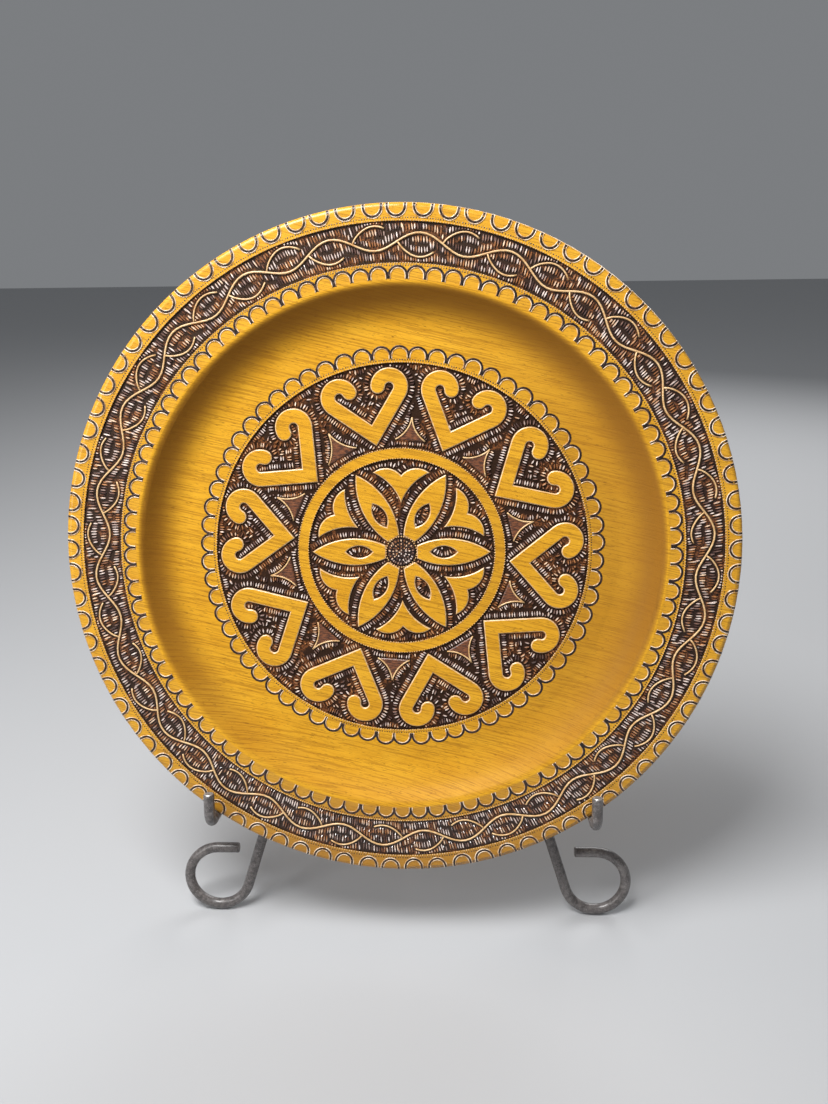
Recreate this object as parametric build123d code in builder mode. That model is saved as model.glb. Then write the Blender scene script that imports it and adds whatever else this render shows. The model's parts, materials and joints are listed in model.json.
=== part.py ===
"""A wood-burned display plate standing on a folding iron easel.

The row frame: +Z up, the plate faces -Y, and the origin is on the table, under the middle of the whole object.
The plate leans back. Its own plane is `face`: local x runs across the plate, local y up its lean, and local z
out of the rim towards the viewer, so depths into the wood are negative.
"""

import os
from math import cos, pi, radians, sin, sqrt, tan

from build123d import *

# ---- Driving dimensions, in millimetres and degrees ----

LEAN = 12.0  # how far the plate and the front frame lean back
BACK_LEG_ANGLE = 20.0  # the open back leg, from the vertical

PLATE_RADIUS = 150.0
PLATE_THICKNESS = 20.0  # from the rim's front to the foot ring
EDGE_THICKNESS = 7.0
EDGE_ROUND = 2.2
LIP_RADIUS = 118.0  # where the flat rim turns down into the well
LIP_ROUND = 3.0
LIP_RUN_OUT = 1.0  # the lip's rounding ends this far out on the rim
FLOOR_RADIUS = 98.0  # where the well's flat floor begins
WELL_DEPTH = 9.5
CARVED_DEPTH = 0.8  # how deep the grounds are cut round the carved pattern
BAND_INNER, BAND_OUTER = 125.2, 142.3  # the carved band on the rim
RING_INNER, RING_OUTER = 42.4, 46.8  # the plain ring round the flower
MEDALLION_RADIUS = 84.4  # the carved ground of the hearts
FOOT_INNER, FOOT_OUTER = 90.0, 98.0
FOOT_HEIGHT = 2.0
FOOT_STEP = 1.2  # the foot ring stands this proud of the back's slope
FOOT_TAPER = 0.6

ROD_RADIUS = 2.5  # all the easel's rods are 5 mm round iron
SMALL_GAP = 0.3  # between the plate and the iron it rests on
SHUT_GAP = 0.1  # filled by weld between two rods
END_CHAMFER = 0.4

LOOP_RADIUS = 15.0  # scroll feet, to the middle of the rod
LOOP_ACROSS, LOOP_UP = 93.0, -166.0  # a front loop's centre in the leaning frame
LOOP_TAIL = 10.3  # straight end of a scroll
LEG_SLANT = 17.4  # a front leg, from the frame's upright
LEG_TOP_ACROSS = 2.9

HOOK_ACROSS = 88.5
HOOK_FRONT = 7.5  # the hook's upright stands this far in front of the rim
HOOK_RISE = 15.0
HOOK_BEND, CORNER_BEND = 6.0, 8.0

HINGE_UP = 40.0  # the hinge bar's height in the leaning frame
HINGE_BEHIND = 1.2  # the hinge bar is set back, so that its sleeve stays behind the plate's foot
HINGE_BAR_RADIUS = 2.0
HINGE_PLAY = 0.08
SLEEVE_RADIUS = 3.2
SLEEVE_LENGTH = 14.0
BACK_LEG_BEND = 8.0
HEAD_LENGTH = 31.0  # the back leg above its hinge, which stops in the groove between the front legs

HANGER_UP = 119.0  # where the hanging staple enters the back
HANGER_WIRE = 0.8
HANGER_RING_RADIUS = 8.0
STAPLE_HALF_SPAN = 2.8
STAPLE_REACH = 3.9
STAPLE_BITE = 5.0
STAPLE_BEND = 1.8

BAR_BEAD, HINGE_BEAD, APEX_BEAD, SLEEVE_BEAD = 3.9, 2.4, 1.9, 1.5  # radii of the weld beads
APEX_BEAD_DOWN, APEX_BEAD_OUT = 3.6, 0.4  # from the legs' tops
SLEEVE_BEAD_BEHIND, SLEEVE_BEAD_UP, SLEEVE_BEAD_ACROSS = 3.6, 1.7, 2.3  # from the hinge's middle

# ---- Worked out from them ----

FRAME_DEPTH = PLATE_THICKNESS + SMALL_GAP + ROD_RADIUS
BAR_DEPTH = FRAME_DEPTH + 2 * ROD_RADIUS + SHUT_GAP
PLATE_HEIGHT = (
    (LOOP_RADIUS - LOOP_UP) * cos(radians(LEAN)) + FRAME_DEPTH * sin(radians(LEAN)) + ROD_RADIUS
)
ARM_DROP = sqrt((PLATE_RADIUS + SMALL_GAP + ROD_RADIUS) ** 2 - HOOK_ACROSS**2)

# ---- Places and directions ----

OUT = Vector(0, -cos(radians(LEAN)), sin(radians(LEAN)))
UP_THE_LEAN = Vector(0, sin(radians(LEAN)), cos(radians(LEAN)))
DOWN_BACK_LEG = Vector(0, sin(radians(BACK_LEG_ANGLE)), -cos(radians(BACK_LEG_ANGLE)))
BEHIND_BACK_LEG = Vector(0, cos(radians(BACK_LEG_ANGLE)), sin(radians(BACK_LEG_ANGLE)))

# The back leg bends just behind its hinge sleeve, a rod's radius clear of it.
half_bend = radians(LEAN + BACK_LEG_ANGLE) / 2
bend_offset = SLEEVE_RADIUS + ROD_RADIUS + SHUT_GAP - BACK_LEG_BEND * (1 / cos(half_bend) - 1)
hinge_from_plate = UP_THE_LEAN * HINGE_UP - OUT * (FRAME_DEPTH + HINGE_BEHIND)
corner_from_plate = hinge_from_plate + (BEHIND_BACK_LEG - OUT).normalized() * bend_offset

# The front of the object is the hooks, and its back is the back leg's scroll.
back_loop_height = ROD_RADIUS + LOOP_RADIUS
back_loop_from_plate = (
    corner_from_plate.Y
    + (PLATE_HEIGHT + corner_from_plate.Z - back_loop_height) * tan(radians(BACK_LEG_ANGLE))
    + LOOP_RADIUS / cos(radians(BACK_LEG_ANGLE))
)
front_from_plate = (
    (HOOK_BEND - ARM_DROP) * sin(radians(LEAN))
    + (HOOK_BEND - HOOK_FRONT) * cos(radians(LEAN))
    - HOOK_BEND
    - ROD_RADIUS
)
PLATE_Y = -(front_from_plate + back_loop_from_plate + LOOP_RADIUS + ROD_RADIUS) / 2

plate_centre = Vector(0, PLATE_Y, PLATE_HEIGHT)
face = Plane(plate_centre, x_dir=(1, 0, 0), z_dir=OUT)
turning = Plane(plate_centre, x_dir=(1, 0, 0), z_dir=-UP_THE_LEAN)  # local x is the radius, local y is out
frame = face.offset(-FRAME_DEPTH)


def cut_ends(part, radius=ROD_RADIUS):
    """The rims of a rod's two cut ends."""
    ends = part.faces().filter_by(GeomType.PLANE).edges()
    return ends.filter_by(lambda rim: abs(rim.length - 2 * pi * radius) < 0.05)


# ---- The plate: one turned piece of wood, with the carved grounds cut in ----

with BuildPart() as plate:
    with BuildSketch(turning):
        with BuildLine():
            floor, ground = -WELL_DEPTH, -WELL_DEPTH - CARVED_DEPTH
            back, hollow = -PLATE_THICKNESS, -PLATE_THICKNESS + FOOT_HEIGHT
            start = Polyline(
                (0, ground),
                (RING_INNER, ground),
                (RING_INNER, floor),
                (RING_OUTER, floor),
                (RING_OUTER, ground),
                (MEDALLION_RADIUS, ground),
                (MEDALLION_RADIUS, floor),
                (FLOOR_RADIUS, floor),
            )
            cove = TangentArc(start @ 1, (LIP_RADIUS - LIP_ROUND, -LIP_ROUND / 2), tangent=(1, 0))
            lip = TangentArc(cove @ 1, (LIP_RADIUS + LIP_RUN_OUT, 0), tangent=cove % 1)
            rim = Polyline(
                lip @ 1,
                (BAND_INNER, 0),
                (BAND_INNER, -CARVED_DEPTH),
                (BAND_OUTER, -CARVED_DEPTH),
                (BAND_OUTER, 0),
                (PLATE_RADIUS - EDGE_ROUND, 0),
            )
            nose = RadiusArc(rim @ 1, (PLATE_RADIUS, -EDGE_ROUND), EDGE_ROUND)
            edge = Line(nose @ 1, (PLATE_RADIUS, -EDGE_THICKNESS + EDGE_ROUND))
            heel = RadiusArc(edge @ 1, (PLATE_RADIUS - EDGE_ROUND, -EDGE_THICKNESS), EDGE_ROUND)
            under = Line(heel @ 1, (FOOT_OUTER, back + FOOT_STEP))
            foot = Polyline(
                under @ 1,
                (FOOT_OUTER - FOOT_TAPER, back),
                (FOOT_INNER + FOOT_TAPER, back),
                (FOOT_INNER, hollow),
                (0, hollow),
                (0, ground),
            )
        make_face()
    revolve(axis=Axis(plate_centre, OUT))

# ---- The hanging ring on the plate's back, and its staple ----

# The back of the rim slopes from the foot ring to the edge: the staple goes in square to that slope.
slope = Vector(
    PLATE_RADIUS - EDGE_ROUND - FOOT_OUTER, PLATE_THICKNESS - EDGE_THICKNESS - FOOT_STEP
).normalized()
slope_depth = -EDGE_THICKNESS - (PLATE_RADIUS - EDGE_ROUND - HANGER_UP) * slope.Y / slope.X
along_slope = face.y_dir * slope.X + face.z_dir * slope.Y
into_wood = face.y_dir * -slope.Y + face.z_dir * slope.X
staple_foot = face.from_local_coords(Vector(0, HANGER_UP, slope_depth))
staple_plane = Plane(staple_foot, x_dir=along_slope, z_dir=face.x_dir)  # local y points out of the back
if staple_plane.y_dir.dot(into_wood) > 0:
    staple_plane = Plane(staple_foot, x_dir=-along_slope, z_dir=face.x_dir)

with BuildPart() as hanger_staple:
    with BuildLine(staple_plane) as staple_line:
        FilletPolyline(
            (-STAPLE_HALF_SPAN, -STAPLE_BITE),
            (-STAPLE_HALF_SPAN, STAPLE_REACH),
            (STAPLE_HALF_SPAN, STAPLE_REACH),
            (STAPLE_HALF_SPAN, -STAPLE_BITE),
            radius=STAPLE_BEND,
        )
    with BuildSketch(Plane(staple_line.line @ 0, z_dir=staple_line.line % 0)):
        Circle(HANGER_WIRE)
    sweep()

with plate:
    add(hanger_staple.part, mode=Mode.SUBTRACT)

# The ring hangs plumb, with its top just above the staple's lower leg and just inside its bridge.
nest = 2 * HANGER_WIRE + SMALL_GAP
down_slope = -1 if staple_plane.x_dir.Z > 0 else 1
ring_pivot = staple_plane.from_local_coords(
    Vector(down_slope * (STAPLE_HALF_SPAN - nest), STAPLE_REACH - nest, 0)
)
ring_centre = ring_pivot - Vector(0, 0, HANGER_RING_RADIUS)

with BuildPart() as hanger_ring:
    with BuildSketch(Plane(ring_pivot, x_dir=(0, 0, 1), z_dir=(1, 0, 0))):
        Circle(HANGER_WIRE)
    revolve(axis=Axis(ring_centre, (0, 1, 0)))

# ---- The easel's front legs: each one rod, curled into a scroll foot ----

leg_run = (sin(radians(LEG_SLANT)), cos(radians(LEG_SLANT)))
touch_across = LOOP_ACROSS - LOOP_RADIUS * leg_run[1]
touch_up = LOOP_UP - LOOP_RADIUS * leg_run[0]


def leg_across(up):
    """How far a front leg's middle is from the centre line, at a height in the leaning frame."""
    return touch_across - (up - touch_up) * leg_run[0] / leg_run[1]


leg_top_up = touch_up + (touch_across - LEG_TOP_ACROSS) * leg_run[1] / leg_run[0]

with BuildPart() as right_leg:
    with BuildLine(frame) as leg_line:
        shank = Line((LEG_TOP_ACROSS, leg_top_up), (touch_across, touch_up))
        loop = CenterArc((LOOP_ACROSS, LOOP_UP), LOOP_RADIUS, 180 + LEG_SLANT, 270 - LEG_SLANT)
        Line(loop @ 1, loop @ 1 + frame.x_dir * -LOOP_TAIL)
    with BuildSketch(Plane(leg_line.line @ 0, z_dir=leg_line.line % 0)):
        Circle(ROD_RADIUS)
    sweep()
    chamfer(cut_ends(right_leg), length=END_CHAMFER)

with BuildPart() as left_leg:
    mirror(right_leg.part, about=Plane.YZ)

# ---- The rest bar: one rod behind the legs, bent forward at both ends into the hooks ----

with BuildPart() as rest_bar:
    with BuildLine(face) as bar_line:
        FilletPolyline(
            (-HOOK_ACROSS, -ARM_DROP + HOOK_RISE, HOOK_FRONT),
            (-HOOK_ACROSS, -ARM_DROP, HOOK_FRONT),
            (-HOOK_ACROSS, -ARM_DROP, -BAR_DEPTH),
            (HOOK_ACROSS, -ARM_DROP, -BAR_DEPTH),
            (HOOK_ACROSS, -ARM_DROP, HOOK_FRONT),
            (HOOK_ACROSS, -ARM_DROP + HOOK_RISE, HOOK_FRONT),
            radius=[HOOK_BEND, CORNER_BEND, CORNER_BEND, HOOK_BEND],
        )
    with BuildSketch(Plane(bar_line.line @ 0, z_dir=bar_line.line % 0)):
        Circle(ROD_RADIUS)
    sweep()
    chamfer(cut_ends(rest_bar), length=END_CHAMFER)

# ---- The hinge bar between the legs ----

hinge_centre = plate_centre + hinge_from_plate
hinge_plane = Plane(hinge_centre, x_dir=face.y_dir, z_dir=(1, 0, 0))

with BuildPart() as hinge_bar:
    with BuildSketch(hinge_plane):
        Circle(HINGE_BAR_RADIUS)
    extrude(amount=leg_across(HINGE_UP), both=True)
    add(left_leg.part, mode=Mode.SUBTRACT)
    add(right_leg.part, mode=Mode.SUBTRACT)

# ---- The back leg: one rod, bent round its hinge sleeve, with a scroll foot ----

# The head leans in a little, so that its top sits in the groove between the front legs.
groove_offset = sqrt((2 * ROD_RADIUS + SMALL_GAP) ** 2 - leg_across(HINGE_UP + HEAD_LENGTH) ** 2)

with BuildPart() as back_leg:
    with BuildLine() as back_line:
        head_top = frame.from_local_coords(Vector(0, HINGE_UP + HEAD_LENGTH, -groove_offset))
        corner = plate_centre + corner_from_plate
        shank_drop = corner.Z - back_loop_height + LOOP_RADIUS * sin(radians(BACK_LEG_ANGLE))
        shank_end = corner + DOWN_BACK_LEG * (shank_drop / cos(radians(BACK_LEG_ANGLE)))
        loop_centre = shank_end + BEHIND_BACK_LEG * LOOP_RADIUS
        loop_under = loop_centre - Vector(0, 0, LOOP_RADIUS)
        loop_back = loop_centre + Vector(0, LOOP_RADIUS, 0)
        loop_high = loop_centre + Vector(0, LOOP_RADIUS, LOOP_RADIUS) * sin(radians(45))
        loop_top = loop_centre + Vector(0, 0, LOOP_RADIUS)
        FilletPolyline(head_top, corner, shank_end, radius=BACK_LEG_BEND)
        ThreePointArc(shank_end, loop_under, loop_back)
        ThreePointArc(loop_back, loop_high, loop_top)
        Line(loop_top, loop_top - Vector(0, LOOP_TAIL, 0))
    with BuildSketch(Plane(back_line.line @ 0, z_dir=back_line.line % 0)):
        Circle(ROD_RADIUS)
    sweep()
    chamfer(cut_ends(back_leg), length=END_CHAMFER)

with BuildPart() as hinge_sleeve:
    with BuildSketch(hinge_plane):
        Circle(SLEEVE_RADIUS)
        Circle(HINGE_BAR_RADIUS + HINGE_PLAY, mode=Mode.SUBTRACT)
    extrude(amount=SLEEVE_LENGTH / 2, both=True)

# ---- Welds: small beads that fill the corners where two pieces meet ----


def beads(places, radius, *pieces):
    """Beads of weld at some places, cut to the pieces that they join."""
    with BuildPart() as made:
        with Locations(*places):
            Sphere(radius)
        for piece in pieces:
            add(piece.part, mode=Mode.SUBTRACT)
    return made


crossing_depth = -(FRAME_DEPTH + BAR_DEPTH) / 2
bar_places = [
    face.from_local_coords(Vector(s * leg_across(-ARM_DROP), -ARM_DROP, crossing_depth)) for s in (-1, 1)
]
hinge_places = [
    hinge_centre + Vector(s * (leg_across(HINGE_UP) - ROD_RADIUS), 0, 0) for s in (-1, 1)
]
apex_place = frame.from_local_coords(Vector(0, leg_top_up - APEX_BEAD_DOWN, APEX_BEAD_OUT))
behind_sleeve = hinge_centre - OUT * SLEEVE_BEAD_BEHIND + UP_THE_LEAN * SLEEVE_BEAD_UP
sleeve_places = [behind_sleeve + Vector(s * SLEEVE_BEAD_ACROSS, 0, 0) for s in (-1, 1)]

bar_welds = beads(bar_places, BAR_BEAD, left_leg, right_leg, rest_bar)
hinge_welds = beads(hinge_places, HINGE_BEAD, left_leg, right_leg, hinge_bar)
sleeve_welds = beads(sleeve_places, SLEEVE_BEAD, back_leg, hinge_sleeve)

with BuildPart() as apex_weld:
    with BuildSketch(Plane(apex_place, x_dir=face.y_dir, z_dir=(1, 0, 0))):
        Circle(APEX_BEAD)
    extrude(amount=LEG_TOP_ACROSS, both=True)
    add(left_leg.part, mode=Mode.SUBTRACT)
    add(right_leg.part, mode=Mode.SUBTRACT)

# ---- Write one file for each piece ----

pieces = {
    "plate": plate,
    "hanger_staple": hanger_staple,
    "hanger_ring": hanger_ring,
    "left_leg": left_leg,
    "right_leg": right_leg,
    "rest_bar": rest_bar,
    "hinge_bar": hinge_bar,
    "bar_welds": bar_welds,
    "hinge_welds": hinge_welds,
    "apex_weld": apex_weld,
    "back_leg": back_leg,
    "hinge_sleeve": hinge_sleeve,
    "sleeve_welds": sleeve_welds,
}

os.makedirs("parts", exist_ok=True)
for name, piece in pieces.items():
    piece.part.label = name
    export_step(piece.part, f"parts/{name}.step")

whole = Compound(children=[piece.part for piece in pieces.values()]).bounding_box()
print("whole object", whole.min, whole.max)
print("plate centre", plate_centre, "hinge", hinge_centre, "ring pivot", ring_pivot)
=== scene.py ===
"""The looks of a wood-burned display plate on its folding iron easel, built round the CAD frame.

All sizes are in metres. `on_plate` places what is modelled flat on the plate's own plane: x across the plate,
y up its lean, z out of the rim, and the middle of the rim's front at the origin.
"""

import json
import math
import random

import bmesh
import bpy
from mathutils import Euler, Matrix, Vector, kdtree


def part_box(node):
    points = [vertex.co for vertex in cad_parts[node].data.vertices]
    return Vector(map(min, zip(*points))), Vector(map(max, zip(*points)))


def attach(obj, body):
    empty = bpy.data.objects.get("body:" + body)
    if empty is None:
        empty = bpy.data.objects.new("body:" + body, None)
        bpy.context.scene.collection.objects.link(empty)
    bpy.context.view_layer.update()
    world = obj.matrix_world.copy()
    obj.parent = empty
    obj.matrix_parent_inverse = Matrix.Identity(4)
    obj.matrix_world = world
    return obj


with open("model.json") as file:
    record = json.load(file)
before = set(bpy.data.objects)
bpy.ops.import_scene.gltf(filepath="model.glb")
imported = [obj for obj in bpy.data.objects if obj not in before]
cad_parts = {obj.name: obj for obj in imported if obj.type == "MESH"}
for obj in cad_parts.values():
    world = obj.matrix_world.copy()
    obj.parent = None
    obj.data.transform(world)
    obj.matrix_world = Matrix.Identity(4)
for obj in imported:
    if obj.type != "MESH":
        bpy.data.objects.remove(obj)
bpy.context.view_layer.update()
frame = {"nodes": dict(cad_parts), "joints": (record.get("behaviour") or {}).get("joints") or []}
chance = random.Random(7)
MM = 0.001

# ---- Where the plate stands ----
# The plate leans back on its easel, square to the way it lifts off. The middle of the rim's front is 40 mm down
# the lean from the easel's hinge, and 24 mm in front of it.

joints = {joint["name"]: joint for joint in frame["joints"]}
across_plate = Vector((1, 0, 0))
up_plate = Vector(joints["plate_lift"]["axis"]).normalized()
out_of_plate = across_plate.cross(up_plate)
hinge = Vector(joints["back_leg_fold"]["pos_m"])
HINGE_ABOVE, HINGE_BEHIND = 40 * MM, 24 * MM
plate_centre = hinge - HINGE_ABOVE * up_plate + HINGE_BEHIND * out_of_plate
plate_axes = Matrix((across_plate, up_plate, out_of_plate))
on_plate = Matrix.Translation(plate_centre) @ plate_axes.transposed().to_4x4()

# ---- The camera ----
# It looks down at the plate from arm's length, turned a little to the left.

CAMERA_DISTANCE = 418.5 * MM
CAMERA_DOWN, CAMERA_LEFT = math.radians(21.5), math.radians(2.4)
CAMERA_SHIFT_ACROSS, CAMERA_SHIFT_UP = 6.1 * MM, 1.6 * MM
LENS, SENSOR_WIDTH = 30.8, 36
camera_data = bpy.data.cameras.new("camera")
camera_data.lens = LENS
camera_data.sensor_width = SENSOR_WIDTH
camera = bpy.data.objects.new("camera", camera_data)
bpy.context.scene.collection.objects.link(camera)
camera.matrix_world = (
    Matrix.Translation(plate_centre)
    @ Matrix.Rotation(math.pi / 2 - CAMERA_DOWN, 4, "X")
    @ Matrix.Rotation(CAMERA_LEFT, 4, "Y")
    @ Matrix.Translation((CAMERA_SHIFT_ACROSS, CAMERA_SHIFT_UP, CAMERA_DISTANCE))
)
bpy.context.scene.camera = camera

# ---- The easel's rods ----
# Round iron rod, bent cold and welded, then sprayed with a dark brown-grey hammered paint. It has worn to a
# paler grey in patches, where the easel is handled.


class Wire:
    """A socket in a material. Sums written on wires add Math nodes to the material."""

    def __init__(self, socket):
        self.socket = socket

    def node(self, kind, settings=None, inputs=None, out=0):
        """Adds any other node, with its settings made first, then its inputs, and returns one output."""
        tree = self.socket.id_data
        made = tree.nodes.new("ShaderNode" + kind)
        for name, value in (settings or {}).items():
            if name == "stops":
                for place, colour in value[1:-1]:
                    made.color_ramp.elements.new(place)
                for element, (place, colour) in zip(made.color_ramp.elements, value):
                    element.position = place
                    element.color = (*colour, 1)
            else:
                setattr(made, name, value)
        for name, value in (inputs or {}).items():
            if isinstance(value, Wire):
                tree.links.new(value.socket, made.inputs[name])
            else:
                made.inputs[name].default_value = value
        return Wire(made.outputs[out])

    def maths(self, operation, *others):
        return self.node("Math", {"operation": operation}, dict(enumerate((self, *others))))

    def __add__(self, other):
        return self.maths("ADD", other)

    def __sub__(self, other):
        return self.maths("SUBTRACT", other)

    def __mul__(self, other):
        return self.maths("MULTIPLY", other)

    def __rsub__(self, other):
        return self.node("Math", {"operation": "SUBTRACT"}, {0: other, 1: self})

    def __gt__(self, other):
        return self.maths("GREATER_THAN", other)

    def __lt__(self, other):
        return self.maths("LESS_THAN", other)

    __radd__ = __add__
    __rmul__ = __mul__

    def between(self, low, high):
        """1 where the value is between two limits, else 0."""
        return (self > low) * (self < high)

    def rising(self, low, high):
        """Runs smoothly from 0 at low to 1 at high."""
        settings = {"interpolation_type": "SMOOTHSTEP"}
        return self.node("MapRange", settings, {"Value": self, "From Min": low, "From Max": high})

    def blotches(self, size, detail=2.0, roughness=0.5):
        """Soft noise with blotches of about that size, 0 to 1. size is one length, or one for each axis."""
        sizes = size if isinstance(size, tuple) else (size, size, size)
        scale = tuple(1 / s for s in sizes)
        spread = self.node("VectorMath", {"operation": "MULTIPLY"}, {0: self, 1: scale})
        inputs = {"Vector": spread, "Scale": 1.0, "Detail": detail, "Roughness": roughness}
        return spread.node("TexNoise", None, inputs)

    def mixed(self, first, second):
        """The first colour where this mask is 0, the second where it is 1."""
        first = (*first, 1) if isinstance(first, tuple) else first
        second = (*second, 1) if isinstance(second, tuple) else second
        settings = {"data_type": "RGBA", "clamp_factor": True}
        return self.node("Mix", settings, {0: self, 6: first, 7: second}, out=2)


def new_finish(name, **fixed):
    """A new material, its shader, and the wire of the object's own coordinates."""
    finish = bpy.data.materials.new(name)
    finish.use_nodes = True
    tree = finish.node_tree
    shader = tree.nodes["Principled BSDF"]
    for socket, value in fixed.items():
        shader.inputs[socket.replace("_", " ")].default_value = value
    return finish, shader, Wire(tree.nodes.new("ShaderNodeTexCoord").outputs["Object"])


def feed(shader, colour=None, roughness=None, height=None, depth=0.1 * MM):
    """Connects what varies over a surface to its shader. depth is how high a height of 1 stands."""
    for name, wire in (("Base Color", colour), ("Roughness", roughness)):
        if wire is not None:
            shader.id_data.links.new(wire.socket, shader.inputs[name])
    if height is not None:
        bumped = height.node("Bump", None, {"Height": height, "Distance": depth, "Strength": 1.0})
        shader.id_data.links.new(bumped.socket, shader.inputs["Normal"])


def hammered_iron():
    finish, shader, place = new_finish("hammered_iron", Coat_Weight=0.6, Coat_Roughness=0.22)
    dimples = place.blotches(1.6 * MM, detail=3.0, roughness=0.6)
    wear = place.blotches(9 * MM, detail=4.0, roughness=0.65).rising(0.5, 0.68)
    speckle = place.blotches(0.45 * MM).rising(0.58, 0.72)
    paint = dimples.rising(0.35, 0.7).mixed((0.055, 0.047, 0.045), (0.13, 0.115, 0.11))
    worn = (wear * 0.35).mixed(paint, (0.26, 0.235, 0.225))
    colour = (speckle * 0.4).mixed(worn, (0.48, 0.45, 0.44))
    feed(shader, colour, roughness=0.5 - 0.16 * dimples + 0.1 * wear, height=dimples, depth=0.25 * MM)
    return finish


iron = hammered_iron()
IRON_NODES = [
    "left_leg", "right_leg", "rest_bar", "hinge_bar", "bar_welds",
    "hinge_welds", "apex_weld", "back_leg", "hinge_sleeve", "sleeve_welds",
]  # fmt: skip
for name in IRON_NODES:
    frame["nodes"][name].data.materials.clear()
    frame["nodes"][name].data.materials.append(iron)

# ---- The cut ends of the hooks ----
# The rods were sheared to length after painting, so each hook ends in a bright, slightly burred steel face.

ROD_RADIUS = 2.5 * MM
FACE_THICKNESS = 0.16 * MM
FACE_RADIUS, FACE_TOP_RADIUS = ROD_RADIUS - 0.35 * MM, ROD_RADIUS - 0.5 * MM
HOOK_TOP = -109.52 * MM  # the face's middle, up the plate
HOOK_DEPTH = 7.5 * MM  # in front of the rim
hook_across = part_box("rest_bar")[1].x - ROD_RADIUS


def cut_steel():
    finish, shader, place = new_finish("cut_steel", Metallic=0.85)
    scratches = place.blotches((0.15 * MM, 2 * MM, 2 * MM), detail=3.0)
    colour = scratches.rising(0.35, 0.65).mixed((0.50, 0.49, 0.48), (0.80, 0.79, 0.77))
    feed(shader, colour, roughness=0.3 + 0.25 * scratches, height=scratches, depth=0.03 * MM)
    return finish


def finish_piece(name, bm, finishes, body="plate", place=on_plate, smooth=False):
    """Turns a bmesh into a piece of the object that rides on a body."""
    mesh = bpy.data.meshes.new(name)
    bm.to_mesh(mesh)
    bm.free()
    mesh.transform(place)
    for finish in finishes:
        mesh.materials.append(finish)
    for polygon in mesh.polygons:
        polygon.use_smooth = smooth
    piece = bpy.data.objects.new(name, mesh)
    bpy.context.scene.collection.objects.link(piece)
    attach(piece, body)
    return piece


steel = cut_steel()
for name, side in (("left_hook_end", -1), ("right_hook_end", 1)):
    bm = bmesh.new()
    bmesh.ops.create_cone(
        bm, cap_ends=True, segments=32, radius1=FACE_RADIUS, radius2=FACE_TOP_RADIUS, depth=FACE_THICKNESS
    )
    upright = Matrix.Rotation(-math.pi / 2, 4, "X")
    top_middle = on_plate @ Matrix.Translation((side * hook_across, HOOK_TOP, HOOK_DEPTH)) @ upright
    finish_piece(name, bm, [steel], "front_frame", top_middle)

# ---- The plate's wood ----
# One board of close-grained wood, turned to a dish with a flat rim, stained a deep golden yellow and varnished.
# The stain is browner in the cove and on the back. The cove is also darkened by painted shade, more towards its
# top, and painted shade darkens the right of the well and the lower rim. The grain runs almost level, and the
# carved grounds are burned nearly black.

LEAN_TURN = math.atan2(up_plate.y, up_plate.z) - math.pi / 2
GRAIN_SLOPE = math.radians(13)
BAND_INNER, BAND_OUTER = 125.2 * MM, 142.3 * MM
MEDALLION_RADIUS = 84.4 * MM
FLOOR = -9.5 * MM  # the well's floor
GROUND_DEPTH = 0.8 * MM
COVE_START, WELL_EDGE = 99 * MM, 118 * MM
LATHE_PITCH = 1.7 * MM
REFLECTION_TINT = (1.0, 0.72, 0.30, 1)


def plate_place(place):
    """Turns the object's coordinates into the plate's own."""
    turn = Matrix.Rotation(LEAN_TURN, 3, "X")
    inputs = {"Vector": place, "Rotation": (LEAN_TURN, 0, 0), "Location": -(turn @ plate_centre)}
    return place.node("Mapping", {"vector_type": "POINT"}, inputs)


def golden_wood(flat):
    """The stained wood's colour, roughness and surface height, from the plate's own coordinates."""
    along = flat.node("Mapping", None, {"Vector": flat, "Rotation": (0, 0, GRAIN_SLOPE)})
    wander = along.blotches((55 * MM, 10 * MM, 40 * MM), detail=3.0)
    fibres = along.blotches((9 * MM, 0.42 * MM, 9 * MM), detail=2.0, roughness=0.6)
    lines = along.blotches((20 * MM, 0.52 * MM, 20 * MM), detail=1.0).rising(0.52, 0.62)
    pores = along.blotches((2.6 * MM, 0.30 * MM, 2.6 * MM), detail=1.0).rising(0.64, 0.72)
    mottle = flat.blotches(16 * MM, detail=3.0).rising(0.3, 0.72)
    base = wander.rising(0.3, 0.7).mixed((0.66, 0.315, 0.018), (0.74, 0.375, 0.024))
    base = (mottle * 0.25).mixed(base, (0.84, 0.47, 0.042))
    base = (fibres.rising(0.40, 0.62) * 0.24).mixed(base, (0.40, 0.170, 0.012))
    base = (lines * 0.42).mixed(base, (0.25, 0.095, 0.010))
    base = (pores * 0.6).mixed(base, (0.12, 0.045, 0.009))
    return base, 0.40 + 0.20 * fibres, fibres * 0.6 + lines * -0.5 + pores * -0.6


def burned_ground(flat):
    """The burned ground's colour: near black, browner in patches."""
    patches = flat.blotches(7 * MM, detail=2.0).rising(0.50, 0.60)
    flecks = flat.blotches(0.9 * MM, detail=2.0).rising(0.40, 0.66)
    return (patches * flecks).mixed((0.026, 0.012, 0.009), (0.20, 0.070, 0.026))


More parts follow.
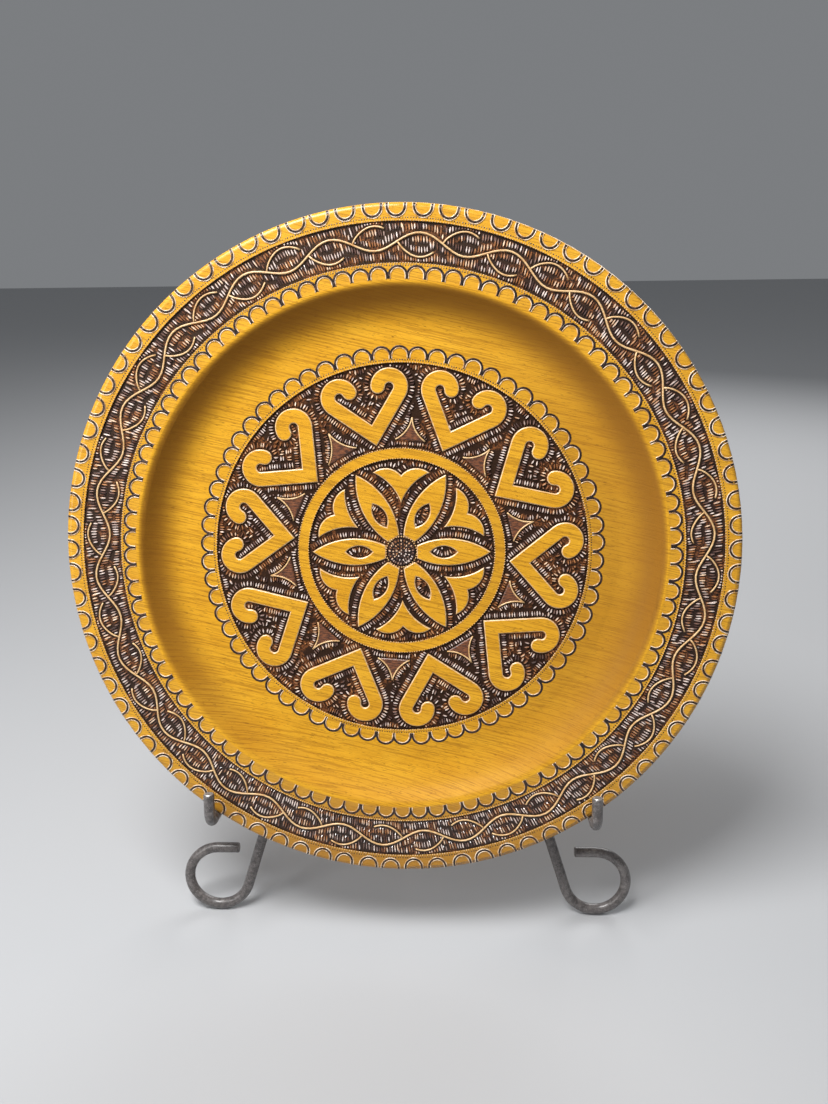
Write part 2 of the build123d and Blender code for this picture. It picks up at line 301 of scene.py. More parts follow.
def plate_wood():
    finish, shader, place = new_finish(
        "plate_wood", Coat_Roughness=0.28, Specular_IOR_Level=0.2, Specular_Tint=REFLECTION_TINT
    )
    flat = plate_place(place)
    gold, roughness, height = golden_wood(flat)
    parts = flat.node("SeparateXYZ", None, {"Vector": flat}).socket.node.outputs
    across, upward, depth = Wire(parts["X"]), Wire(parts["Y"]), Wire(parts["Z"])
    level = flat.node("VectorMath", {"operation": "MULTIPLY"}, {0: flat, 1: (1, 1, 0)})
    radius = level.node("VectorMath", {"operation": "LENGTH"}, {0: level}, out="Value")
    in_band = radius.between(BAND_INNER, BAND_OUTER) * depth.between(-4 * MM, -0.4 * MM)
    in_medallion = (radius < MEDALLION_RADIUS + 0.1 * MM) * depth.between(-11.5 * MM, FLOOR - 0.3 * MM)
    burned = (in_band + in_medallion).maths("MINIMUM", 1.0)
    in_cove = radius.rising(COVE_START, 112 * MM) * (1 - radius.rising(115.5 * MM, 118.5 * MM))
    # The cove's darkening is partly stain and partly painted shade, which grows towards the top of the cove.
    cove = in_cove * depth.between(-9.6 * MM, -0.05 * MM) * (0.35 + 0.65 * upward.rising(-105 * MM, -20 * MM))
    # Painted shade: darker towards the right of the well and on the lower rim.
    right_well_painted_shade = across.rising(0, 112 * MM) * (1 - radius.rising(115 * MM, WELL_EDGE)) * 0.55
    lower_rim_painted_shade = (1 - upward.rising(-150 * MM, -70 * MM)) * radius.rising(WELL_EDGE, WELL_EDGE + MM) * 0.75
    painted_light = (right_well_painted_shade + lower_rim_painted_shade).mixed(gold, (0.33, 0.145, 0.020))
    shaded = (cove * 0.86).mixed(painted_light, (0.25, 0.105, 0.014))
    behind = 1 - depth.rising(-12.5 * MM, -11.5 * MM)
    under_rim = radius.rising(117.5 * MM, 118.5 * MM) * (1 - depth.rising(-6.5 * MM, -5.5 * MM))
    back = (behind + under_rim).maths("MINIMUM", 1.0)
    rings = radius.node("Math", {"operation": "SINE"}, {0: radius * (2 * math.pi / LATHE_PITCH)})
    backed = (back * 0.35).mixed(shaded, (0.30, 0.135, 0.020))
    colour = burned.mixed(backed, burned_ground(flat))
    feed(shader, colour, roughness, height=height + back * rings * 0.6, depth=0.05 * MM)
    varnish = 0.03 + 0.7 * radius.rising(117.5 * MM, 119 * MM) * (1 - back)
    finish.node_tree.links.new(varnish.socket, shader.inputs["Coat Weight"])
    return finish


frame["nodes"]["plate"].data.materials.clear()
frame["nodes"]["plate"].data.materials.append(plate_wood())

# ---- The carved hearts, petals and fleurs ----
# They are the plate's own surface, left standing when the ground round them was cut away. The knife's slanting
# cut went through the stain, so each has a thin edge of pale bare wood.

EDGE_CUT, EDGE_DROP = 0.42 * MM, 0.3 * MM
# The hearts were set out by eye, so their turns from the top aren't even.
HEART_DIRECTIONS = [-12.5, 22.5, 59, 95, 130.5, 166, 203, 241.5, 277.5, 310.5]
PETAL_DIRECTIONS = [30, 90, 150, 210, 270, 330]
FLEUR_DIRECTIONS = [0, 60, 120, 180, 240, 300]
HEART_POINT = 49.0 * MM  # from the plate's middle to a heart's point
HEART_OPENING = 88  # degrees
HEART_ARM, HEART_BAND, HEART_CURL = 22.4 * MM, 6.5 * MM, 5.1 * MM
CURL_SWEEP = math.radians(206)
PETAL_START, PETAL_END, PETAL_WIDTH = 2.0 * MM, 40.4 * MM, 12.3 * MM
SEED_MIDDLE, SEED_LENGTH, SEED_WIDTH = 19.2 * MM, 12.2 * MM, 5.6 * MM
FLEUR_FOOT, FLEUR_TIP, FLEUR_NOTCH = 22.4 * MM, (12.6 * MM, 35.9 * MM), 34.7 * MM
BOSS_RADIUS = 6.6 * MM


def bend(centre, radius, start, end, steps):
    """Points along an arc, from one angle to another."""
    turns = (start + (end - start) * i / steps for i in range(steps + 1))
    return [Vector((centre[0] + radius * math.cos(a), centre[1] + radius * math.sin(a))) for a in turns]


def bow(start, end, bulge, steps=8):
    """Points from start to end along an arc that stands off its chord by bulge, to the right if positive."""
    start, end = Vector(start), Vector(end)
    chord = end - start
    radius = (chord.length**2 / 4 + bulge**2) / (2 * abs(bulge))
    right = Vector((chord.y, -chord.x)).normalized() * math.copysign(1, bulge)
    centre = (start + end) / 2 + right * (abs(bulge) - radius)
    first = math.atan2(*(start - centre).yx)
    swing = 2 * math.asin(min(1.0, chord.length / 2 / radius)) * math.copysign(1, bulge)
    return bend(centre, radius, first, first + swing, steps)


def mirrored(half):
    """A closed outline from its right half, which starts and ends on the middle line."""
    return half + [Vector((-p.x, p.y)) for p in reversed(half[1:-1])]


def turned_out(outline, direction, start=0.0):
    """Moves an outline out by start and turns it from straight up to a direction, clockwise in degrees."""
    angle = math.radians(direction)
    out, side = Vector((math.sin(angle), math.cos(angle))), Vector((math.cos(angle), -math.sin(angle)))
    return [out * (p.y + start) + side * p.x for p in outline]


def heart_outline():
    """A heart bent from one band: straight arms from a sharp point, curling in to round ends."""
    half = math.radians(HEART_OPENING + chance.uniform(-3, 3)) / 2
    arm = HEART_ARM * chance.uniform(0.97, 1.02)
    band = HEART_BAND / 2
    start = Vector((0, band / math.sin(half)))
    arm_end = start + arm * Vector((math.sin(half), math.cos(half)))
    centre = arm_end + HEART_CURL * Vector((-math.cos(half), math.sin(half)))
    last = -half + CURL_SWEEP + math.radians(chance.uniform(-8, 8))
    tip = centre + HEART_CURL * Vector((math.cos(last), math.sin(last)))
    outer = bend(centre, HEART_CURL + band, -half, last, 18)
    end = bend(tip, band, last, last + math.pi, 7)[1:-1]
    inner = bend(centre, HEART_CURL - band, last, -half, 12)
    return mirrored([Vector((0, 0)), *outer, *end, *inner, Vector((0, 2 * band / math.sin(half)))])


def leaf_outline(start, end, width, steps=14):
    """A leaf pointed at both ends, standing straight up."""
    side = bow((0, start), (0, end), width / 2, steps)
    return mirrored(side)


def fleur_outline():
    """A three-pointed flower: two lobes with a notch between them, tapering to a point below."""
    side = bow((0, FLEUR_FOOT), FLEUR_TIP, -1.9 * MM)
    lobe = bow(FLEUR_TIP, (0, FLEUR_NOTCH), 2.6 * MM)
    return mirrored(side + lobe[1:])


def carve(name, shapes, finishes, low=FLOOR - GROUND_DEPTH - 0.2 * MM, high=FLOOR):
    """Flat-topped relief from outlines with holes. The last finish is the pale cut edge."""
    bm = bmesh.new()
    for outlines in shapes:
        edges = []
        for outline in outlines:
            ring = [bm.verts.new((p.x, p.y, high - EDGE_DROP)) for p in outline]
            edges += [bm.edges.new((a, b)) for a, b in zip(ring, ring[1:] + ring[:1])]
        bmesh.ops.triangle_fill(bm, edges=edges, use_beauty=True, normal=(0, 0, 1))
    tops = list(bm.faces)
    bmesh.ops.recalc_face_normals(bm, faces=tops)
    for face in tops:
        if face.normal.z < 0:
            face.normal_flip()
    raised = bmesh.ops.extrude_face_region(bm, geom=tops)["geom"]
    lifted = {g for g in raised if isinstance(g, bmesh.types.BMVert)}
    for vert in bm.verts:
        if vert not in lifted:
            vert.co.z = low
    tops = [g for g in raised if isinstance(g, bmesh.types.BMFace)]
    walls = set(bm.faces) - set(tops)
    rims = bmesh.ops.inset_region(bm, faces=tops, thickness=EDGE_CUT, depth=EDGE_DROP, use_even_offset=True)
    bevels = set(rims["faces"])
    for face in bm.faces:
        face.material_index = 1 if face in walls or face in bevels else 0
    bmesh.ops.recalc_face_normals(bm, faces=bm.faces)
    return finish_piece(name, bm, finishes)


def relief_wood():
    gloss = {"Coat_Weight": 0.08, "Coat_Roughness": 0.28, "Specular_IOR_Level": 0.25}
    finish, shader, place = new_finish("relief_wood", Specular_Tint=REFLECTION_TINT, **gloss)
    gold, roughness, height = golden_wood(plate_place(place))
    feed(shader, gold, roughness, height=height, depth=0.05 * MM)
    return finish


def bare_cut():
    finish, shader, place = new_finish("bare_cut", Coat_Weight=0.5, Coat_Roughness=0.25)
    fibres = plate_place(place).blotches((3 * MM, 0.5 * MM, 3 * MM), detail=3.0)
    stained = place.blotches(4 * MM).rising(0.48, 0.70)
    pale = fibres.rising(0.3, 0.7).mixed((0.62, 0.36, 0.14), (0.86, 0.60, 0.32))
    feed(shader, (stained * 0.6).mixed(pale, (0.50, 0.24, 0.06)), roughness=0.35 + 0.2 * fibres)
    return finish


relief, bare = relief_wood(), bare_cut()
hearts = [turned_out(heart_outline(), direction, HEART_POINT) for direction in HEART_DIRECTIONS]
petal = [p for p in leaf_outline(PETAL_START, PETAL_END, PETAL_WIDTH) if p.y > BOSS_RADIUS - 0.4 * MM]
seed_start = SEED_MIDDLE - SEED_LENGTH / 2
seed = leaf_outline(seed_start, seed_start + SEED_LENGTH, SEED_WIDTH, steps=9)
petals = [turned_out(petal, d) for d in PETAL_DIRECTIONS]
seeds = [turned_out(seed, d) for d in PETAL_DIRECTIONS]
fleurs = [turned_out(fleur_outline(), d + chance.uniform(-1, 1)) for d in FLEUR_DIRECTIONS]
carve("carved_hearts", [[h] for h in hearts], [relief, bare])
carve("carved_petals", [[p, s] for p, s in zip(petals, seeds)], [relief, bare])
carve("carved_fleurs", [[f] for f in fleurs], [relief, bare])

# ---- The vine and the darts ----
# A fine line of wood left standing in the rim's burned band: one wave all the way round, with a tendril that
# mirrors each half wave. Pairs of such lines make the small darts between the hearts.

VINE_RADIUS, VINE_SWING, VINE_WAVES = 134.0 * MM, 3.7 * MM, 22
TENDRIL_SHARE, TENDRIL_SWING = 0.82, 6.4 * MM
VINE_LINE, TENDRIL_LINE, DART_LINE = 0.44 * MM, 0.38 * MM, 0.34 * MM


def polar(angle, radius):
    """A point on the plate, from its angle clockwise from the top and its distance from the middle."""
    return Vector((math.sin(angle) * radius, math.cos(angle) * radius))


def standing_lines(name, paths, height, radius, finish, profile=None, closed=()):
    """Thin lines that stand on the plate: round wires, or strips with the section of a profile."""
    curve = bpy.data.curves.new(name, "CURVE")
    curve.dimensions = "3D"
    curve.twist_mode = "Z_UP"
    curve.use_fill_caps = True
    if profile is None:
        curve.bevel_depth = radius
        curve.bevel_resolution = 1
    else:
        curve.bevel_mode = "OBJECT"
        curve.bevel_object = profile
    for number, path in enumerate(paths):
        spline = curve.splines.new("POLY")
        spline.points.add(len(path) - 1)
        for point, place in zip(spline.points, path):
            point.co = (place.x, place.y, height + (place.z if len(place) == 3 else 0), 1)
        spline.use_cyclic_u = number in closed
    holder = bpy.data.objects.new(name + "_path", curve)
    bpy.context.scene.collection.objects.link(holder)
    mesh = bpy.data.meshes.new_from_object(holder.evaluated_get(bpy.context.evaluated_depsgraph_get()))
    bpy.data.objects.remove(holder)
    bm = bmesh.new()
    bm.from_mesh(mesh)
    bpy.data.meshes.remove(mesh)
    bmesh.ops.remove_doubles(bm, verts=bm.verts, dist=0.001 * MM)
    bmesh.ops.recalc_face_normals(bm, faces=bm.faces)
    for face in bm.faces:
        face.material_index = 0
    return finish_piece(name, bm, [finish], smooth=True)


half_wave = math.pi / VINE_WAVES
wave_steps = VINE_WAVES * 16
wave = []
for i in range(wave_steps):
    rise = VINE_SWING * math.sin(2 * math.pi * i * VINE_WAVES / wave_steps)
    wave.append(polar(2 * math.pi * i / wave_steps, VINE_RADIUS + rise))
tendrils = []
for number in range(2 * VINE_WAVES):
    side = -1 if number % 2 == 0 else 1
    share = TENDRIL_SHARE * chance.uniform(0.85, 1.08)
    swing = TENDRIL_SWING * chance.uniform(0.93, 1.04)
    turns = [share * i / 12 for i in range(13)]
    bows = [math.sin(math.pi * t) ** 0.75 for t in turns]
    path = [polar(half_wave * (number + t), VINE_RADIUS + side * swing * b) for t, b in zip(turns, bows)]
    tendrils.append(path)
standing_lines("vine", [wave], -0.40 * MM, VINE_LINE, bare, closed={0})
standing_lines("tendrils", tendrils, -0.42 * MM, TENDRIL_LINE, bare)


def scorched_wood():
    finish, shader, place = new_finish("scorched_wood", Coat_Weight=0.8, Coat_Roughness=0.2)
    streaks = plate_place(place).blotches((2.5 * MM, 0.5 * MM, 2.5 * MM), detail=3.0)
    colour = streaks.rising(0.35, 0.65).mixed((0.050, 0.018, 0.010), (0.23, 0.075, 0.025))
    feed(shader, colour, roughness=0.3 + 0.2 * streaks, height=streaks, depth=0.15 * MM)
    return finish


dart_lines, darts = [], []
for number, direction in enumerate(HEART_DIRECTIONS):
    following = (HEART_DIRECTIONS + [HEART_DIRECTIONS[0] + 360])[number + 1]
    middle = (direction + following) / 2
    tip, reach = Vector((0, chance.uniform(60.5, 62.5) * MM)), chance.uniform(6.6, 7.4) * MM
    for side in (-1, 1):
        foot = Vector((side * reach, 50.4 * MM))
        dart_lines.append(turned_out(bow(tip, foot, side * 1.5 * MM), middle))
    left, right = dart_lines[-2:]
    darts.append(left + right[:0:-1])
standing_lines("darts", dart_lines, FLOOR - 0.42 * MM, DART_LINE, bare)
ground = FLOOR - GROUND_DEPTH
scorched = scorched_wood()
carve("dart_grounds", [[d] for d in darts], [scorched, scorched], ground - 0.2 * MM, ground + 0.3 * MM)

# ---- The burned scallops ----
# Each arch is one press of a hot gouge, which leaves a black line with a slightly raised, shiny lip on each
# side; the pale strips along the lips are painted highlight. One row goes round the hearts, one round the
# inside of the rim, and U marks run out over the edge.

PLATE_RADIUS, EDGE_ROUND = 150 * MM, 2.2 * MM
MARK_HALF = [(0.10, 0.02), (0.34, 0.11), (0.50, 0.0), (0.50, -0.3)]  # right half of the line's section, in mm
MARK_SECTION = [(-x, y) for x, y in reversed(MARK_HALF)] + MARK_HALF


def burned_line():
    finish, shader, place = new_finish("burned_line", Coat_Weight=0.25, Coat_Roughness=0.25)
    char = place.blotches(1.2 * MM, detail=3.0).rising(0.42, 0.72)
    feed(shader, char.mixed((0.011, 0.006, 0.005), (0.075, 0.034, 0.022)), roughness=0.3 + 0.2 * char)
    return finish


def rim_height(radius):
    """The rim's front is flat, and rounds over at the plate's edge."""
    past = max(0.0, radius - PLATE_RADIUS + EDGE_ROUND)
    return math.sqrt(max(0.0, EDGE_ROUND**2 - past**2)) - EDGE_ROUND


def arch(middle, low, side, straight, way, steps=10):
    """An arch that opens towards low: two straight legs and a half circle. way is 1 outwards, -1 inwards."""
    leg = [(-side, straight * i / 4) for i in range(4)]
    turns = [math.pi * i / steps for i in range(steps + 1)]
    crown = [(-side * math.cos(t), straight + side * math.sin(t)) for t in turns]
    path = []
    for x, y in [*leg, *crown, *((-x, y) for x, y in reversed(leg))]:
        point = polar(middle + x / low, low + way * y).to_3d()
        point.z = rim_height(point.length)
        path.append(point)
    return path


def scallops(name, count, low, high, width_share, height, lips=(-0.66,)):
    """A ring of arches. high is where their tops are, and it is less than low for U marks."""
    side = math.pi / count * width_share * low
    marks, burrs = [], []
    for number in range(count):
        middle = 2 * math.pi * (number + chance.uniform(-0.05, 0.05)) / count
        straight = max(0.0, abs(high - low) - side) + chance.uniform(-0.3, 0.3) * MM
        for shift in (0, *lips):
            path = arch(middle, low, side + shift * MM, max(0.0, straight), math.copysign(1, high - low))
            (burrs if shift else marks).append(path)
    standing_lines(name, marks, height, 0, char_black, profile=mark_profile)
    standing_lines(name + "_burrs", burrs, height + 0.03 * MM, 0.21 * MM, burr_highlight)


# The strips along the burned lines' lips: their pale colour is painted highlight.
def burr_painted_highlight():
    finish, shader, place = new_finish("burr_painted_highlight", Coat_Weight=0.6, Coat_Roughness=0.15)
    painted_light = place.blotches(2.5 * MM, detail=2.0).rising(0.40, 0.62)
    feed(shader, painted_light.mixed((0.50, 0.27, 0.09), (0.92, 0.74, 0.54)), roughness=0.3 + 0.1 * painted_light)
    return finish


profile_curve = bpy.data.curves.new("mark_section", "CURVE")
profile_curve.dimensions = "2D"
section = profile_curve.splines.new("POLY")
section.points.add(len(MARK_SECTION) - 1)
for point, (x, y) in zip(section.points, MARK_SECTION):
    point.co = (x * MM, y * MM, 0, 1)
section.use_cyclic_u = True
mark_profile = bpy.data.objects.new("mark_section", profile_curve)
bpy.context.scene.collection.objects.link(mark_profile)

char_black, burr_highlight = burned_line(), burr_painted_highlight()
scallops("medallion_scallops", 66, 86.0 * MM, 91.3 * MM, 0.97, FLOOR)
scallops("rim_scallops", 96, 118.6 * MM, 123.9 * MM, 0.97, 0)
scallops("edge_marks", 85, 149.6 * MM, 144.3 * MM, 0.70, 0, lips=(-0.64, 0.64))
bpy.data.objects.remove(mark_profile)

# ---- The tracing wheel's dots ----
# A toothed wheel was run along every border of the carving. It left a row of tiny pale teeth on the cut edge,
# and a row of pricked, darkened dots beside it in the gold.

TOOTH_PITCH = 1.15 * MM
# Each row's radius and the height of its foot, in mm.
TOOTH_ROWS = [(142.45, -0.15), (125.05, -0.15), (84.5, -9.65), (46.85, -9.7), (42.35, -9.7), (7.0, -9.8)]
DOT_ROWS = [(143.5, 0.0), (124.2, 0.0), (85.5, -9.5)]


def studs(name, rows, radius, top_share, rise, sides, finish, pitch=TOOTH_PITCH):
    """Rows of tiny blunt pyramids round the plate."""
    bm = bmesh.new()
    for row, low in rows:
        ring = bmesh.new()
        count = max(14, round(2 * math.pi * row * MM / pitch))
        for number in range(count):
            at = polar(2 * math.pi * (number + chance.uniform(-0.12, 0.12)) / count, row * MM)
            size = radius * chance.uniform(0.85, 1.15)
            turn = Matrix.Rotation(chance.uniform(0, 6.28), 4, "Z")
            place = Matrix.Translation((at.x, at.y, low * MM + rise / 2)) @ turn
            shape = {"segments": sides, "radius1": size, "radius2": size * top_share, "depth": rise}
            bmesh.ops.create_cone(ring, cap_ends=True, matrix=place, **shape)
        mesh = bpy.data.meshes.new(name)
        ring.to_mesh(mesh)
        ring.free()
        bm.from_mesh(mesh)
        bpy.data.meshes.remove(mesh)
    return finish_piece(name, bm, [finish])


studs("wheel_teeth", TOOTH_ROWS, 0.42 * MM, 0.35, 0.42 * MM, 4, bare)
studs("wheel_dots", DOT_ROWS, 0.33 * MM, 0.5, 0.05 * MM, 5, char_black)

# ---- The gouged grounds ----
# The ground was textured with short strokes of a small gouge, side by side, square to whatever they come up
# against. Their ridges were burned and then varnished, so they glint. Their crests are painted pale, partly as
# worn wood and partly as painted highlight.

STROKE_PITCH = 1.18 * MM
STROKE_HALF_WIDTH = 0.47 * MM
STROKE_RISE = 0.75 * MM
CROWDED = 2000  # corners in a bmesh before it is set aside
VINE_CLEARANCE, LONGEST_STROKE = 0.62 * MM, 4.2 * MM
FILLING_TRIES = 30000
STROKE_PARTS = (-0.4, 0, 0.4)  # where a stroke's room is kept, as shares of its length
CHAR = (0.009, 0.005, 0.005)
# A ridge's colours, from its foot at 0 to the palest crest at 1. The pale crest colours are partly worn wood
# and partly painted highlight.
DARK_RIDGE = [(0, CHAR), (0.30, (0.085, 0.038, 0.030)), (0.52, (0.30, 0.17, 0.13)), (0.8, (0.92, 0.76, 0.68))]
BROWN_RIDGE = [(0, CHAR), (0.28, (0.20, 0.066, 0.020)), (0.62, (0.56, 0.23, 0.075)), (0.9, (0.95, 0.68, 0.46))]


def gouged():
    finish, shader, place = new_finish("gouged_ground", Coat_Weight=1.0, Coat_Roughness=0.10)
    flat = plate_place(place)
    patches = flat.blotches(7 * MM, detail=2.0).rising(0.46, 0.56)
    flecks = flat.blotches(0.7 * MM, detail=2.0).rising(0.35, 0.65)
    crest = place.node("Attribute", {"attribute_name": "crest"}, None, out="Fac")
    dark = crest.node("ValToRGB", {"stops": DARK_RIDGE}, {"Fac": crest})
    brown = crest.node("ValToRGB", {"stops": BROWN_RIDGE}, {"Fac": crest})
    colour = patches.mixed(dark, brown)
    feed(shader, (flecks * 0.35).mixed(colour, CHAR), roughness=0.24 + 0.2 * flecks)
    return finish


class Strokes:
    """Gouge strokes on the plate, which keep clear of each other."""

    def __init__(self):
        self.bm = bmesh.new()
        self.crest = self.bm.verts.layers.float.new("crest")
        self.taken = {}
        self.full = []

    def places(self, at, direction, length):
        """Three points along a stroke, each with its cell of the plate."""
        points = [at + direction * length * share for share in STROKE_PARTS]
        return [(point, (int(point.x // STROKE_PITCH), int(point.y // STROKE_PITCH))) for point in points]

    def fits(self, at, direction, length):
        """True if a stroke there would be clear of those already made."""
        for point, (column, row) in self.places(at, direction, length):
            for cell in ((column + i, row + j) for i in (-1, 0, 1) for j in (-1, 0, 1)):
                if any((other - point).length < 0.72 * STROKE_PITCH for other in self.taken.get(cell, ())):
                    return False
        return True

    def cut(self, at, direction, length, ground):
        """One ridge, as long as that, standing on the ground."""
        for point, cell in self.places(at, direction, length):
            self.taken.setdefault(cell, []).append(point)
        rise = STROKE_RISE * chance.uniform(0.75, 1.15)
        size = Matrix.Diagonal((length / 2, STROKE_HALF_WIDTH * chance.uniform(0.8, 1.1), rise, 1))
        roll_angle, pitch_angle = math.radians(chance.uniform(-22, 22)), math.radians(chance.uniform(-6, 6))
        roll = Euler((roll_angle, pitch_angle, 0)).to_matrix().to_4x4()
        turn = Matrix.Rotation(math.atan2(direction.y, direction.x) + chance.uniform(-0.08, 0.08), 4, "Z")
        middle = ground + rise * 0.42
        place = Matrix.Translation((at.x, at.y, middle)) @ turn @ roll @ size
        made = bmesh.ops.create_cone(
            self.bm, cap_ends=True, segments=6, radius1=1, radius2=0.60, depth=1, matrix=place
        )
        # How pale this ridge's crest is painted: partly wear, partly painted highlight.
        tone = min(1.0, chance.uniform(0.25, 1.1))
        for vert in made["verts"]:
            vert[self.crest] = tone if vert.co.z > middle else 0.0
        if len(self.bm.verts) > CROWDED:
            self.set_aside()

    def set_aside(self):
        """Puts the strokes made so far by, because a crowded bmesh is slow to add to."""
        mesh = bpy.data.meshes.new("strokes")
        self.bm.to_mesh(mesh)
        self.bm.clear()
        self.crest = self.bm.verts.layers.float.get("crest") or self.bm.verts.layers.float.new("crest")
        self.full.append(mesh)

    def gathered(self):
        """All the strokes in one bmesh."""
        self.set_aside()
        for mesh in self.full:
            self.bm.from_mesh(mesh)
            bpy.data.meshes.remove(mesh)
        return self.bm


def crowd(points):
    """A search tree of points on the plate."""
    tree = kdtree.KDTree(len(points))
    for number, point in enumerate(points):
        tree.insert((point.x, point.y, 0), number)
    tree.balance()
    return tree


def spaced(outline, pitch, closed=True):
    """Points evenly along an outline."""
    ends = outline[1:] + outline[:1] if closed else outline[1:]
    points, left = [], 0.0
    for a, b in zip(outline, ends):
        length = (b - a).length
        while left < length:
            points.append((a.lerp(b, left / length), (b - a).normalized()))
            left += pitch
        left -= length
    return points


def rim_strokes():
    """Strokes across the rim's band, broken where the vine is."""
    strokes = Strokes()
    lines = [(wave, True)] + [(tendril, False) for tendril in tendrils]
    vine = crowd([p for path, closed in lines for p, d in spaced(path, 0.3 * MM, closed)])
    last, step = BAND_OUTER - 0.2 * MM, 0.25 * MM
    count = round(2 * math.pi * VINE_RADIUS / STROKE_PITCH)
    for number in range(count):
        angle = 2 * math.pi * (number + chance.uniform(-0.1, 0.1)) / count
        runs, start, radius = [], None, BAND_INNER + 0.3 * MM
        while radius < last:
            at = polar(angle, radius)
            clear = vine.find((at.x, at.y, 0))[2] > VINE_CLEARANCE
            if clear and start is None:
                start = radius
            if start is not None and (not clear or radius + step >= last):
                runs.append((start, radius))
                start = None
            radius += step
        for low, high in runs:
            pieces = max(1, round((high - low) / LONGEST_STROKE))
            for i in range(pieces):
                length = (high - low) / pieces
                if length > 0.9 * MM:
                    middle = low + length * (i + 0.5)
                    at = polar(angle + 0.5 * STROKE_PITCH / VINE_RADIUS * (i % 2), middle)
                    strokes.cut(at, polar(angle - 0.12, 1), length * chance.uniform(0.86, 0.98), -GROUND_DEPTH)
    return finish_piece("rim_strokes", strokes.gathered(), [gouge])


def medallion_strokes():
    """Strokes that stand off every carved shape, row after row, until the ground is full."""
    strokes = Strokes()
    circles = [(84.2, -1), (47.2, 1), (42.0, -1), (7.4, 1)]  # radius in mm, and 1 if the ground is outside it
    borders = []  # a place on an edge, and the way out of the solid wood there
    for outline, facing in [(o, 1) for o in hearts + petals + fleurs + darts] + [(s, -1) for s in seeds]:
        area = sum(a.x * b.y - b.x * a.y for a, b in zip(outline, outline[1:] + outline[:1]))
        sign = math.copysign(1, area) * facing
        borders += [(p, Vector((d.y, -d.x)) * sign) for p, d in spaced(outline, 0.38 * MM)]
    for radius, facing in circles:
        ring = [polar(2 * math.pi * i / 240, radius * MM) for i in range(240)]
        borders += [(p, p.normalized() * facing) for p, d in spaced(ring, 0.38 * MM)]
    tree = crowd([p for p, d in borders])

    def room(at):
        """How far a place is from the nearest edge, or a negative number inside the wood."""
        found, number, distance = tree.find((at.x, at.y, 0))
        inside = (at - borders[number][0]).dot(borders[number][1]) < 0
        return -distance if inside else distance

    def try_stroke(at, direction, length, gap):
        near, far = at - direction * length / 2, at + direction * length / 2
        if min(room(near), room(at), room(far)) > gap and strokes.fits(at, direction, length):
            strokes.cut(at, direction, length, FLOOR - GROUND_DEPTH)
            return True
        return False

    for row in range(3):
        start = 0.40 * MM + row * 3.25 * MM
        for number in range(row % 2, len(borders), 3):
            place, out = borders[number]
            for length in (3.1 * MM, 2.2 * MM, 1.4 * MM):
                cut_length = length * chance.uniform(0.9, 1.05)
                if try_stroke(place + out * (start + length / 2), out, cut_length, 0.24 * MM):
                    break
    for _ in range(FILLING_TRIES):
        at = polar(chance.uniform(0, 2 * math.pi), math.sqrt(chance.uniform(0.008, 1)) * MEDALLION_RADIUS)
        found, number, distance = tree.find((at.x, at.y, 0))
        if room(at) > 0.35 * MM:
            direction = (at - borders[number][0]).normalized()
            try_stroke(at, direction, chance.choice((2.4, 1.7, 1.1)) * MM, 0.2 * MM)
    return finish_piece("medallion_strokes", strokes.gathered(), [gouge])


gouge = gouged()
rim_strokes()
medallion_strokes()

# ---- The flower's middle ----
# A burned boss, pricked all over with the corner of the gouge.

bm = bmesh.new()
bmesh.ops.create_cone(
    bm, cap_ends=True, segments=48, radius1=BOSS_RADIUS, radius2=BOSS_RADIUS - 0.5 * MM, depth=0.9 * MM,
    matrix=Matrix.Translation((0, 0, FLOOR - 0.55 * MM)),
)  # fmt: skip
finish_piece("flower_boss", bm, [char_black])
boss_strokes = Strokes()
for radius, count in ((5.3, 26), (3.7, 17), (2.2, 10), (0.8, 4)):
    for number in range(count):
        at = polar(2 * math.pi * (number + chance.uniform(-0.2, 0.2)) / count, radius * MM)
        boss_strokes.cut(at, at.normalized(), chance.uniform(1.1, 1.5) * MM, FLOOR - 0.35 * MM)
finish_piece("boss_strokes", boss_strokes.gathered(), [gouge])

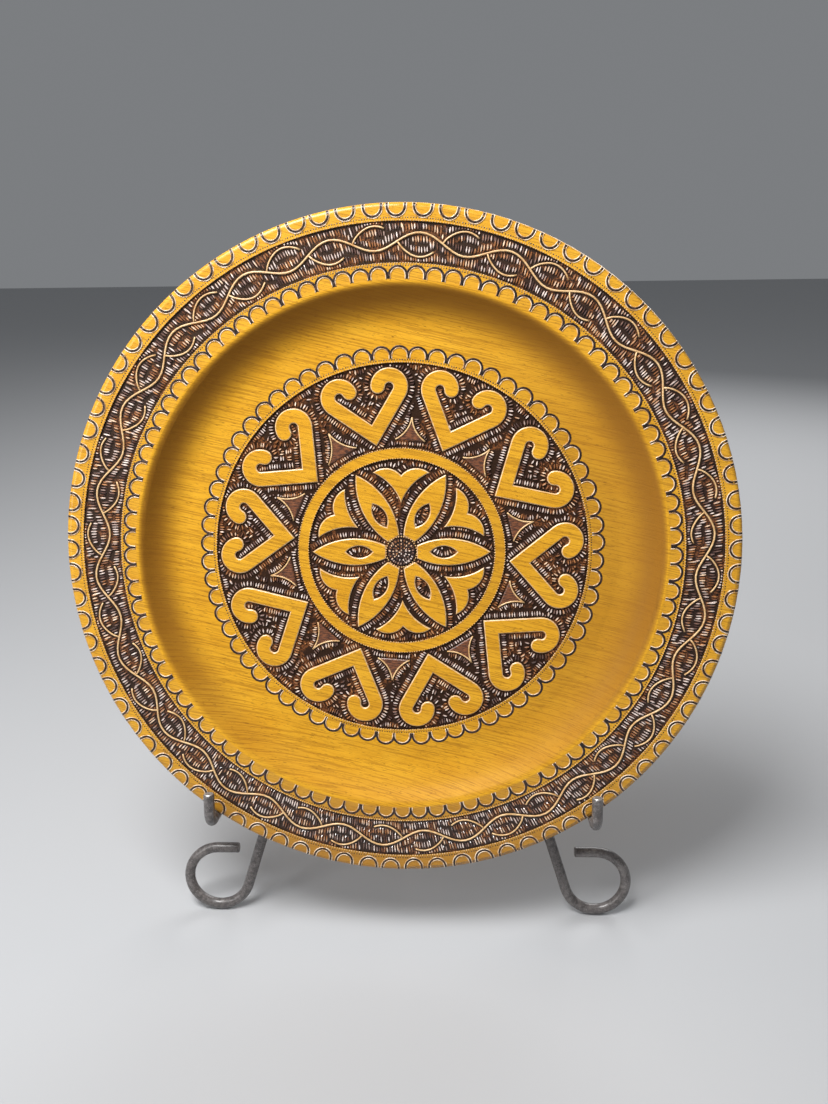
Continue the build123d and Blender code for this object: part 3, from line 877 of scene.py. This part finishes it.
# ---- The hanging ring and its staple ----
# Drawn brass wire, dulled with age. The staple is driven into the back of the rim.


def dull_brass():
    finish, shader, place = new_finish("dull_brass", Metallic=1.0)
    tarnish = place.blotches(3 * MM, detail=4.0).rising(0.4, 0.7)
    drawn = place.blotches((4 * MM, 4 * MM, 0.2 * MM), detail=2.0)
    colour = tarnish.mixed((0.62, 0.42, 0.15), (0.26, 0.17, 0.075))
    feed(shader, colour, roughness=0.28 + 0.25 * tarnish, height=drawn, depth=0.02 * MM)
    return finish


brass = dull_brass()
for name in ("hanger_ring", "hanger_staple"):
    frame["nodes"][name].data.materials.clear()
    frame["nodes"][name].data.materials.append(brass)

# ---- Floor and lights ----
# A plain pale floor, one large soft light above and to the left, and two weaker ones to the left and behind.

bm = bmesh.new()
bmesh.ops.create_grid(bm, x_segments=1, y_segments=1, size=3.0)
floor_mesh = bpy.data.meshes.new("floor")
bm.to_mesh(floor_mesh)
bm.free()
floor = bpy.data.objects.new("floor", floor_mesh)
bpy.context.scene.collection.objects.link(floor)
floor_mesh.materials.append(new_finish("pale_floor", Base_Color=(0.42, 0.425, 0.435, 1), Roughness=0.75)[0])


def softbox(name, at, size, power):
    light = bpy.data.lights.new(name, "AREA")
    light.shape = "RECTANGLE"
    light.size, light.size_y = size
    light.energy = power
    holder = bpy.data.objects.new(name, light)
    bpy.context.scene.collection.objects.link(holder)
    holder.location = at
    holder.rotation_euler = (plate_centre - Vector(at)).to_track_quat("-Z", "Y").to_euler()


softbox("overhead", (-0.25, -0.32, 0.95), (0.45, 0.35), 11.8)
softbox("left_side", (-0.75, -0.65, 0.50), (0.30, 0.60), 3.0)
softbox("behind", (0.45, 0.95, 0.75), (0.9, 0.6), 7.0)
bpy.context.scene.view_settings.view_transform = "Standard"
world = bpy.data.worlds.new("studio")
world.use_nodes = True
background = world.node_tree.nodes["Background"]
background.inputs["Color"].default_value = (0.80, 0.83, 0.87, 1)
background.inputs["Strength"].default_value = 0.25
bpy.context.scene.world = world
